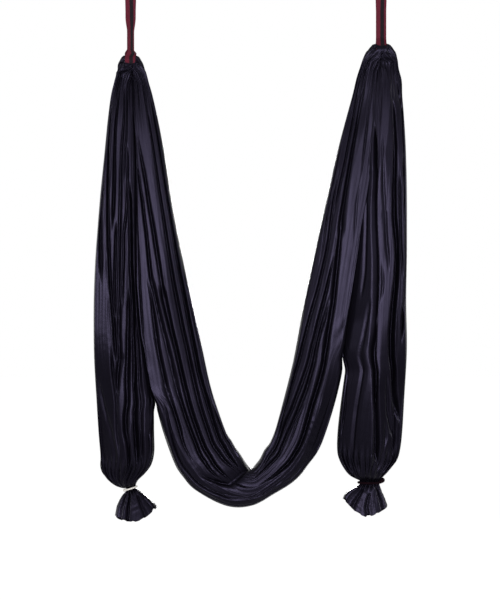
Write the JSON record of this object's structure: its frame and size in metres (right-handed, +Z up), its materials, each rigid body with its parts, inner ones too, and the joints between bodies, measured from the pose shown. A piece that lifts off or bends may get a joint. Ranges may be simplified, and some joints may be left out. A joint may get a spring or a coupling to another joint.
{
  "type": "aerial yoga hammock",
  "caption": "Gathered nylon sling hung by a webbing strap and a screw-gate carabiner at each end, with tied cloth tails beside it.",
  "frame": {"origin": "the point on the inside of the left carabiner's top bow that hangs on the left ceiling anchor", "axes": "+X from the left hanging point to the right one, +Z up, +Y away from the viewer, through the hammock from front to back"},
  "size_m": [0.8357, 0.1156, 1.4971],
  "materials": {
    "brushed_alloy": "satin",
    "gate_alloy": "satin",
    "steel": "satin",
    "black_anodised": "matte",
    "black_webbing": "matte",
    "dark_nylon_cloth": "satin",
    "pale_cord": "matte",
    "dark_red_cord": "matte"
  },
  "bodies": {
    "carabiners": {"carabiner_frame_left": "brushed_alloy", "carabiner_frame_right": "brushed_alloy", "gate_pivot_pin_left": "steel", "gate_pivot_pin_right": "steel"},
    "hammock": {"hanging_strap_left": "black_webbing", "hanging_strap_right": "black_webbing", "fabric_saddle_left": "dark_nylon_cloth", "fabric_saddle_right": "dark_nylon_cloth", "fabric_sling": "dark_nylon_cloth"},
    "gate_left": {"carabiner_gate_left": "gate_alloy", "gate_latch_pin_left": "steel", "gate_spring_left": "steel"},
    "plunger_left": {"gate_plunger_left": "steel"},
    "sleeve_left": {"lock_sleeve_left": "black_anodised"},
    "tail_left": {"fabric_tail_left": "dark_nylon_cloth", "tail_tie_left": "pale_cord", "tail_tuft_left": "dark_nylon_cloth"},
    "gate_right": {"carabiner_gate_right": "gate_alloy", "gate_latch_pin_right": "steel", "gate_spring_right": "steel"},
    "plunger_right": {"gate_plunger_right": "steel"},
    "sleeve_right": {"lock_sleeve_right": "black_anodised"},
    "tail_right": {"fabric_tail_right": "dark_nylon_cloth", "tail_tie_right": "dark_red_cord", "tail_tuft_right": "dark_nylon_cloth"}
  },
  "joints": [
    {"name": "gate_hinge_left", "type": "hinge", "parent": "carabiners", "child": "gate_left", "pos_m": [-0.02375, 0, -0.066], "axis": [0, 1, 0], "range_deg": [0, 25], "stiffness_Nm_per_rad": 0.25, "springref_deg": -34.38},
    {"name": "plunger_slide_left", "type": "slide", "parent": "gate_left", "child": "plunger_left", "axis": [0, 0, 1], "range_m": [0, 0.0008], "deforming": ["gate_spring_left"]},
    {"name": "sleeve_slide_left", "type": "slide", "parent": "gate_left", "child": "sleeve_left", "axis": [0, 0, 1], "range_m": [0, 0.0127]},
    {"name": "gate_hinge_right", "type": "hinge", "parent": "carabiners", "child": "gate_right", "pos_m": [0.69175, 0, -0.066], "axis": [0, -1, 0], "range_deg": [0, 25], "stiffness_Nm_per_rad": 0.25, "springref_deg": -34.38},
    {"name": "plunger_slide_right", "type": "slide", "parent": "gate_right", "child": "plunger_right", "axis": [0, 0, 1], "range_m": [0, 0.0008], "deforming": ["gate_spring_right"]},
    {"name": "sleeve_slide_right", "type": "slide", "parent": "gate_right", "child": "sleeve_right", "axis": [0, 0, 1], "range_m": [0, 0.0127]},
    {"name": "hammock_swing", "type": "hinge", "parent": "carabiners", "child": "hammock", "pos_m": [0, 0, -0.09225], "axis": [1, 0, 0], "range_deg": [-60, 60]},
    {"name": "tail_swing_left", "type": "hinge", "parent": "hammock", "child": "tail_left", "pos_m": [0, 0, -0.26225], "axis": [1, 0, 0], "range_deg": [-60, 60]},
    {"name": "tail_swing_right", "type": "hinge", "parent": "hammock", "child": "tail_right", "pos_m": [0.668, 0, -0.23125], "axis": [1, 0, 0], "range_deg": [-60, 60]}
  ],
  "couplings": [
    {"joint": "plunger_slide_left", "follows": "gate_hinge_left", "m_per_rad": 0.00171},
    {"joint": "plunger_slide_right", "follows": "gate_hinge_right", "m_per_rad": 0.00171}
  ]
}
